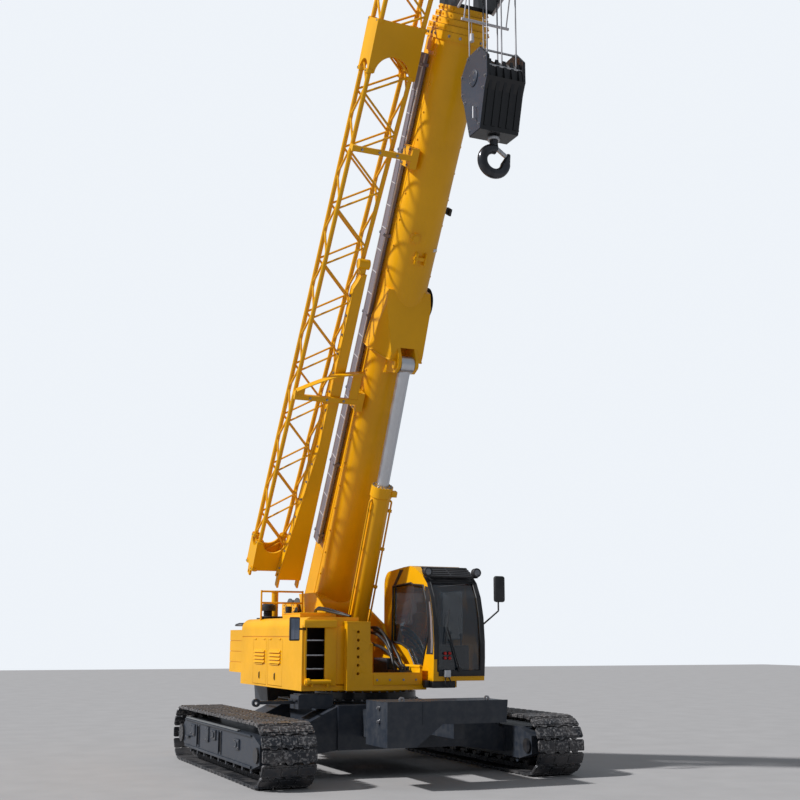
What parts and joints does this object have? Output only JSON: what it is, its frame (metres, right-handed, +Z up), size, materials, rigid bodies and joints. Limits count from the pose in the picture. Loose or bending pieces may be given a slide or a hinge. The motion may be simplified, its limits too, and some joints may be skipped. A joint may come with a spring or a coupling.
{
  "type": "telescopic crawler crane",
  "caption": "Tracked crane with a luffing telescopic boom, a stowed lattice jib, a slewing upper works with cab, and a hook block on rope falls.",
  "frame": {"origin": "the slewing axis at ground level", "axes": "+Z up, -Y the way the machine faces, +X towards its cab side"},
  "size_m": [5.24, 8.4763, 12.5761],
  "materials": {
    "yellow_paint": "gloss",
    "dark_paint": "satin",
    "track_steel": "rough",
    "black_steel": "satin",
    "black_trim": "matt",
    "pane": "clear, tinted",
    "grey_paint": "satin",
    "drum_steel": "bare",
    "rod_chrome": "polished",
    "rope_wire": "stranded",
    "hook_steel": "forged"
  },
  "bodies": {
    "undercarriage": {"carbody": "dark_paint", "carbody_weights": "dark_paint", "slew_ring": "black_steel", "track_frame_left": "dark_paint", "track_frame_right": "dark_paint", "track_left": "track_steel", "track_right": "track_steel", "track_rollers_left": "black_steel", "track_rollers_right": "black_steel", "sprockets": "black_steel", "idlers": "black_steel"},
    "upper": {"turntable": "yellow_paint", "engine_housing": "yellow_paint", "engine_block": "black_steel", "steps": "black_steel", "left_tank": "yellow_paint", "counterweight": "yellow_paint", "intake_exhaust": "black_trim", "mirrors": "black_trim", "winch_frame": "yellow_paint", "cab_shell": "yellow_paint", "cab_panes": "pane", "cab_seat": "black_trim", "cab_visor": "black_trim"},
    "winch_main": {"winch_drum_main": "drum_steel"},
    "winch_aux": {"winch_drum_aux": "drum_steel"},
    "engine_door_front": {"engine_door_front": "yellow_paint"},
    "engine_door_rear": {"engine_door_rear": "yellow_paint"},
    "cab_door": {"cab_door": "yellow_paint", "cab_door_pane": "pane"},
    "boom": {"base_boom": "yellow_paint", "boom_duct": "grey_paint", "jib_lattice": "yellow_paint", "jib_box": "yellow_paint", "jib_brackets": "yellow_paint"},
    "tele_2": {"tele_2": "yellow_paint"},
    "tele_3": {"tele_3": "yellow_paint"},
    "tele_4": {"tele_4": "yellow_paint"},
    "tele_5": {"tele_5": "yellow_paint", "boom_head": "black_steel", "head_sheaves": "black_steel"},
    "lift_barrel": {"lift_barrel": "yellow_paint"},
    "lift_rod": {"lift_rod": "rod_chrome"},
    "hook_block": {"hoist_falls": "rope_wire", "hook_block": "black_steel"},
    "hook": {"hook": "hook_steel"}
  },
  "joints": [
    {"name": "slew", "type": "hinge", "parent": "undercarriage", "child": "upper", "pos_m": [0, 0, 1.24], "axis": [0, 0, 1], "continuous": true},
    {"name": "winch_main_turn", "type": "hinge", "parent": "upper", "child": "winch_main", "pos_m": [0, 2.48, 2.66], "axis": [1, 0, 0], "continuous": true},
    {"name": "winch_aux_turn", "type": "hinge", "parent": "upper", "child": "winch_aux", "pos_m": [0, 2.9, 2.66], "axis": [1, 0, 0], "continuous": true},
    {"name": "engine_door_front_lift", "type": "hinge", "parent": "upper", "child": "engine_door_front", "pos_m": [-1.55, 0.19, 2.0897], "axis": [0, 1, 0], "range_deg": [0, 85]},
    {"name": "engine_door_rear_lift", "type": "hinge", "parent": "upper", "child": "engine_door_rear", "pos_m": [-1.55, 1.05, 2.0897], "axis": [0, 1, 0], "range_deg": [0, 85]},
    {"name": "cab_door_swing", "type": "hinge", "parent": "upper", "child": "cab_door", "pos_m": [1.47, 0.1197, 2.3], "axis": [0, 0, 1], "range_deg": [0, 85]},
    {"name": "luff", "type": "hinge", "parent": "upper", "child": "boom", "pos_m": [0, 1.407, 2.696], "axis": [-1, 0, 0], "range_deg": [-59.8, 22.2]},
    {"name": "tele_2_slide", "type": "slide", "parent": "boom", "child": "tele_2", "axis": [0, -0.5329, 0.8462], "range_m": [0, 7.8]},
    {"name": "tele_3_slide", "type": "slide", "parent": "tele_2", "child": "tele_3", "axis": [0, -0.5329, 0.8462], "range_m": [0, 7.8]},
    {"name": "tele_4_slide", "type": "slide", "parent": "tele_3", "child": "tele_4", "axis": [0, -0.5329, 0.8462], "range_m": [0, 7.8]},
    {"name": "tele_5_slide", "type": "slide", "parent": "tele_4", "child": "tele_5", "axis": [0, -0.5329, 0.8462], "range_m": [0, 7.8]},
    {"name": "lift_barrel_swing", "type": "hinge", "parent": "upper", "child": "lift_barrel", "pos_m": [0, 0.8, 1.55], "axis": [-1, 0, 0], "range_deg": [-55.4, 20.6]},
    {"name": "lift_rod_slide", "type": "slide", "parent": "lift_barrel", "child": "lift_rod", "axis": [0, -0.4381, 0.8989], "range_m": [-1.2, 0.45]},
    {"name": "hook_hang", "type": "hinge", "parent": "tele_5", "child": "hook_block", "pos_m": [0, -4.82134, 11.98592], "axis": [-1, 0, 0], "range_deg": [-22.3, 59.9]},
    {"name": "hook_swivel", "type": "hinge", "parent": "hook_block", "child": "hook", "pos_m": [0, -4.82134, 9.48592], "axis": [0, 0, 1], "continuous": true}
  ],
  "couplings": [
    {"joint": "tele_3_slide", "follows": "tele_2_slide", "ratio": 1},
    {"joint": "tele_4_slide", "follows": "tele_2_slide", "ratio": 1},
    {"joint": "tele_5_slide", "follows": "tele_2_slide", "ratio": 1},
    {"joint": "lift_barrel_swing", "follows": "luff", "ratio": 0.925},
    {"joint": "lift_rod_slide", "follows": "luff", "m_per_rad": 1.1414},
    {"joint": "hook_hang", "follows": "luff", "ratio": -1}
  ]
}
